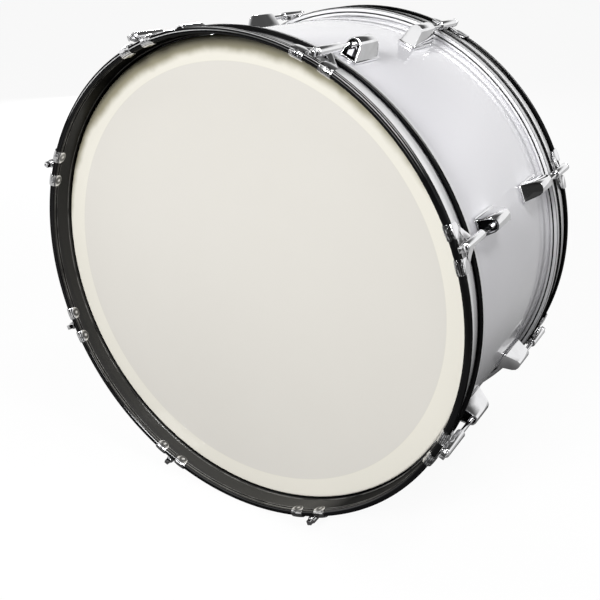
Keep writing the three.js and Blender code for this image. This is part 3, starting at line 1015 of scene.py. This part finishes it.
rodSettings = {
    "radius": 2.75, "tip": 72.4, "tipTaper": 0.8, "threadLength": 34.0, "pitch": 1.0583, "threadDepth": 0.3,
    "crestShares": (0.4, 0.6), "runOut": 0.6, "steps": 24, "roundSteps": 3, "smoothTo": 35,
    "washer": 5.5, "washerThickness": 1.1, "flange": 4.9, "flangeThickness": 1.6,
    "shankRounds": (0.0, 0.3, 0.35, 0.12, 0.7, 0), "square": 6.35, "headHeight": 6.2, "headSink": 0.8,
    "squareRound": 0.7, "squareSegments": 3, "crown": 0.35,
}


def makeRod():
    s = rodSettings
    radius, root, pitch = s["radius"], s["radius"] - s["threadDepth"], s["pitch"]
    under = clawSettings["barrelFront"] + drum["seatGap"]
    washerTop = under + s["washerThickness"]
    flangeTop = washerTop + s["flangeThickness"]
    threadFrom = s["tip"] + s["tipTaper"]
    profile = [(0, s["tip"]), (radius - s["tipTaper"], s["tip"]), (root, threadFrom)]
    for k in range(int(s["threadLength"] / pitch)):
        start = threadFrom + k * pitch
        profile += [(radius, start + pitch * share) for share in s["crestShares"]]
        profile += [(root, start + pitch)]
    profile += [(radius, profile[-1][1] + s["runOut"])]
    shank = [(radius, under), (s["washer"], under), (s["washer"], washerTop),
             (s["flange"], washerTop), (s["flange"], flangeTop), (0, flangeTop)]
    profile += rounded(shank, s["shankRounds"], s["roundSteps"], closed=False)
    middle, half = drum["rodCircle"], s["square"] / 2
    rod = turned("rod", profile, closed=False, steps=s["steps"], centre=middle, spinAxis="rod")
    # the square key head, with its end drawn up into a low crown
    head = addBox("keyHead", (-half, flangeTop - s["headSink"], middle - half),
                  (half, flangeTop + s["headHeight"], middle + half))
    setMode("EDIT")
    pick(head, "EDGE", lambda centre, run: abs(run.y) > touch)
    bpy.ops.mesh.bevel(offset=s["squareRound"] * mm, segments=s["squareSegments"], affect="EDGES")
    pick(head, "FACE", lambda centre, normal: normal.y > facing)
    bpy.ops.mesh.inset(thickness=s["squareRound"] * mm)
    bpy.ops.transform.translate(value=(0, s["crown"] * mm, 0))
    setMode("OBJECT")
    # the crown stays inside the head's own height
    for v in head.data.vertices:
        if v.co.y > flangeTop * mm:
            v.co.y -= s["crown"] * mm
    combine(rod, head, "UNION")
    return smooth(rod, s["smoothTo"])


lugSettings = {
    "back": 46.0, "length": 59.0, "width": 25.0, "corner": 4.0, "cornerSegments": 5, "plate": 2.4,
    "height": 25.0, "margin": 1.6, "sink": 1.0, "crownHalf": 7.6, "archBevel": 5.6, "archSegments": 2,
    "wallThickness": 1.8, "mouthRake": 5.0, "tailRake": 13.0, "mouthDepth": 10.0, "bore": 3.15,
    "boreEnd": 66.4, "drillPast": 4.0, "drillSides": 32, "edgeRound": 0.45, "edgeAngle": 24, "smoothTo": 30,
    "pocketSlack": 0.5, "pocketRim": 0.7,
}


def markPocket(piece, top, crown, mouth, footHalf):
    # an attribute that is 1 inside the mouth, where the casting's material paints shade
    s = lugSettings
    values = []
    for v in piece.data.vertices:
        x, y, z = v.co / mm
        share = min(max((z - top) / (crown - top), 0), 1)
        wall = s["wallThickness"] - s["pocketSlack"]
        side = footHalf + (s["crownHalf"] - footHalf) * share - wall
        rim = mouth - s["mouthRake"] * share - s["pocketRim"]
        inside = abs(x) < side and top < z < crown - wall and rim - s["mouthDepth"] - touch < y < rim
        values.append(1.0 if inside else 0.0)
    markVertices(piece, "pocket", values)


def makeLug():
    s = lugSettings
    seat = drum["shellRadius"] + drum["seatGap"]
    half = s["width"] / 2
    mouthEnd = s["back"] + s["length"]
    middle = s["back"] + s["length"] / 2
    top = seat + s["plate"]
    plate = addBox("lugPlate", (-half, s["back"], seat), (half, mouthEnd, top))
    setMode("EDIT")
    pick(plate, "EDGE", lambda centre, run: abs(run.z) > touch)
    bpy.ops.mesh.bevel(offset=s["corner"] * mm, segments=s["cornerSegments"], affect="EDGES")
    setMode("OBJECT")

    mouth, tail = mouthEnd - s["margin"], s["back"] + s["margin"]
    footHalf = half - s["margin"]
    crown = drum["shellRadius"] + s["height"]
    casing = addBox("lug", (-footHalf, tail, seat + s["sink"]), (footHalf, mouth, crown))
    setMode("EDIT")
    pick(casing, "VERT", lambda co, normal: co.z > crown - touch and co.y > middle)
    bpy.ops.transform.translate(value=(0, -s["mouthRake"] * mm, 0))
    pick(casing, "VERT", lambda co, normal: co.z > crown - touch and co.y < middle)
    bpy.ops.transform.translate(value=(0, s["tailRake"] * mm, 0))
    pick(casing, "VERT", lambda co, normal: co.z > crown - touch)
    bpy.ops.transform.resize(value=(s["crownHalf"] / footHalf, 1, 1), center_override=(0, 0, crown * mm))
    pick(casing, "EDGE", lambda centre, run: centre.z > crown - touch and abs(run.y) > abs(run.x))
    bpy.ops.mesh.bevel(offset=s["archBevel"] * mm, segments=s["archSegments"], affect="EDGES")
    # the open mouth
    pick(casing, "FACE", lambda centre, normal: normal.y > facing)
    bpy.ops.mesh.inset(thickness=s["wallThickness"] * mm)
    bpy.ops.mesh.extrude_region_move(TRANSFORM_OT_translate={"value": (0, -s["mouthDepth"] * mm, 0)})
    setMode("OBJECT")
    combine(casing, plate, "UNION")
    boreFront = mouth + s["drillPast"]
    where = (0, (boreFront + s["boreEnd"]) / 2 * mm, drum["rodCircle"] * mm)
    bore = addDrill(s["bore"], boreFront - s["boreEnd"], s["drillSides"], where, (math.pi / 2, 0, 0))
    combine(casing, bore, "DIFFERENCE")
    softenEdges(casing, s["edgeRound"], s["edgeAngle"])
    markPocket(casing, top, crown, mouth, footHalf)
    return smooth(casing, s["smoothTo"])


claw = makeClaw()
rod = makeRod()
lug = makeLug()
for end in ends:
    for i, angle in enumerate(clawAngles, 1):
        where = stationPlace(end, angle)
        place(claw, f"{end}Claw{i}", where, f"{end}_hoop_assembly", "chrome", [f"{end}_claw_{i}"])
        rodNode = f"{end}_tension_rod_{i}"
        place(rod, f"{end}Rod{i}", where, rodNode, "chrome", [rodNode])
        place(lug, f"{end}Lug{i}", where, "drum", "lug_casting", [f"{end}_lug_{i}"])
for source in (claw, rod, lug):
    print(source.name, len(source.data.polygons), "faces")
    bpy.data.objects.remove(source)
print("claws, rods and lugs made")


# distances on the floor in metres, directions as shares of one
stageSettings = {
    "floorSize": 30, "floorRoughness": 0.9, "floorWhite": 0.93, "floorBounce": 0.08, "floorSeen": 0.9,
    "floorMirrored": 0.55, "sweepEdge": 0.6, "sweepEnd": 1.0, "farMirrored": 0.05,
    "shadeFrom": 0.25, "shadeTo": 0.9, "shade": 0.12,
    "daylight": 0.10, "horizonTop": 0.3, "ceilingFrom": 0.52, "ceiling": 0.08,
    "roomTowards": (0.38, -0.9, 0.15), "roomEdge": 0.56, "roomMiddle": 0.8, "room": 0.97,
    "windowTowards": (-0.084, -0.70, 0.70), "windowEdge": 0.86, "windowMiddle": 0.92,
}


def dotWith(tree, where, direction):
    # how far a place or direction lies the given way
    return node(tree, "VectorMath", {0: where, 1: direction}, operation="DOT_PRODUCT").outputs["Value"]


def makeFloor():
    s = stageSettings
    clearSelection()
    bpy.ops.mesh.primitive_plane_add(size=s["floorSize"])
    floor = bpy.context.object
    floor.name = "floor"
    material = bpy.data.materials.new("paleFloor")
    material.use_nodes = True
    tree = material.node_tree
    shader = tree.nodes["Principled BSDF"]
    shader.inputs["Roughness"].default_value = s["floorRoughness"]
    path = node(tree, "LightPath").outputs
    # what the floor throws back on the drum is dimmer than what the camera sees
    tone = valueMix(tree, path["Is Camera Ray"], s["floorBounce"], s["floorSeen"])
    tree.links.new(tone, shader.inputs["Base Color"])
    looked = times(tree, path["Is Camera Ray"], s["floorWhite"])
    # mirrors see the white sweep near the drum and the dim room floor beyond it
    where = objectPlace(tree)
    outwards = dotWith(tree, where, Vector(s["roomTowards"]) * Vector((1, 1, 0)))
    sweep = ranged(tree, outwards, s["sweepEdge"], s["sweepEnd"], s["floorMirrored"], s["farMirrored"],
                   "SMOOTHSTEP")
    # painted shade: the floor's glow seen in reflections is dimmed right under the drum
    fromDrum = node(tree, "VectorMath", {0: where}, operation="LENGTH").outputs["Value"]
    shade = ranged(tree, fromDrum, s["shadeFrom"], s["shadeTo"], s["shade"], 1.0, "SMOOTHSTEP")
    strength = valueMix(tree, path["Is Glossy Ray"], 1.0, times(tree, sweep, shade))
    glow = node(tree, "Emission", {"Color": (1, 1, 1, 1), "Strength": strength})
    white = highest(tree, looked, path["Is Glossy Ray"])
    mix = node(tree, "MixShader", {0: white, 1: shader.outputs[0], 2: glow.outputs[0]})
    tree.links.new(mix.outputs[0], tree.nodes["Material Output"].inputs["Surface"])
    floor.data.materials.append(material)


def makeWorld():
    s = stageSettings
    world = bpy.data.worlds.new("studio")
    bpy.context.scene.world = world
    world.use_nodes = True
    tree = world.node_tree
    background = tree.nodes["Background"]
    path = node(tree, "LightPath").outputs
    towards = node(tree, "TexCoord").outputs["Generated"]
    # a white sweep up to the horizon's top, a dim ceiling, and the dim room behind the camera
    up = node(tree, "SeparateXYZ", {0: towards}).outputs[2]
    sweep = ranged(tree, up, s["horizonTop"], s["ceilingFrom"], 1.0, s["ceiling"], "SMOOTHSTEP")
    roomwards = dotWith(tree, towards, Vector(s["roomTowards"]).normalized())
    room = ranged(tree, roomwards, s["roomEdge"], s["roomMiddle"], 1.0, 1.0 - s["room"], "SMOOTHSTEP")
    # a window high up in front shines in the ends of the lugs
    windowwards = dotWith(tree, towards, Vector(s["windowTowards"]).normalized())
    window = ranged(tree, windowwards, s["windowEdge"], s["windowMiddle"], kind="SMOOTHSTEP")
    mirrored = highest(tree, times(tree, sweep, room), window)
    seen = highest(tree, path["Is Glossy Ray"], path["Is Transmission Ray"])
    reflected = valueMix(tree, seen, s["daylight"], mirrored)
    strength = valueMix(tree, path["Is Camera Ray"], reflected, 1.0)
    tree.links.new(strength, background.inputs["Strength"])
    background.inputs["Color"].default_value = (1, 1, 1, 1)


lampAim = (0, 0, 0.3)
lamps = {
    "topStrip": {"at": (0.9, -0.35, 2.3), "size": (1.2, 0.25), "power": 13},
    "frontSoftbox": {"at": (0.0, -2.6, 1.7), "size": (0.9, 0.9), "power": 80},
    "sideFill": {"at": (2.4, -0.3, 2.0), "size": (0.8, 0.8), "power": 26},
    "backFill": {"at": (-2.2, 2.2, 0.5), "size": (0.8, 0.8), "power": 80},
}


def makeLamps():
    for name, s in lamps.items():
        bpy.ops.object.light_add(type="AREA", location=s["at"])
        lamp = bpy.context.object
        lamp.name = name
        lamp.data.shape = "RECTANGLE"
        lamp.data.size, lamp.data.size_y = s["size"]
        lamp.data.energy = s["power"]
        aim = Vector(lampAim) - Vector(s["at"])
        lamp.rotation_euler = aim.to_track_quat("-Z", "Y").to_euler()


cameraSettings = {
    "at": (0.5517, -0.8818, 0.7197), "azimuth": 32.4767, "elevation": 24.8061, "lens": 46.99,
    "sensor": 36, "clipStart": 0.01,
}


def makeCamera():
    s = cameraSettings
    a, e = math.radians(s["azimuth"]), math.radians(s["elevation"])
    back = Vector((math.sin(a) * math.cos(e), -math.cos(a) * math.cos(e), math.sin(e)))
    bpy.ops.object.camera_add(location=s["at"])
    camera = bpy.context.object
    camera.rotation_euler = back.to_track_quat("Z", "Y").to_euler()
    camera.data.lens = s["lens"]
    camera.data.sensor_width = s["sensor"]
    camera.data.clip_start = s["clipStart"]
    bpy.context.scene.camera = camera


makeFloor()
makeWorld()
makeLamps()
makeCamera()
bpy.context.scene.view_settings.view_transform = "Standard"
print("floor, light and camera made")
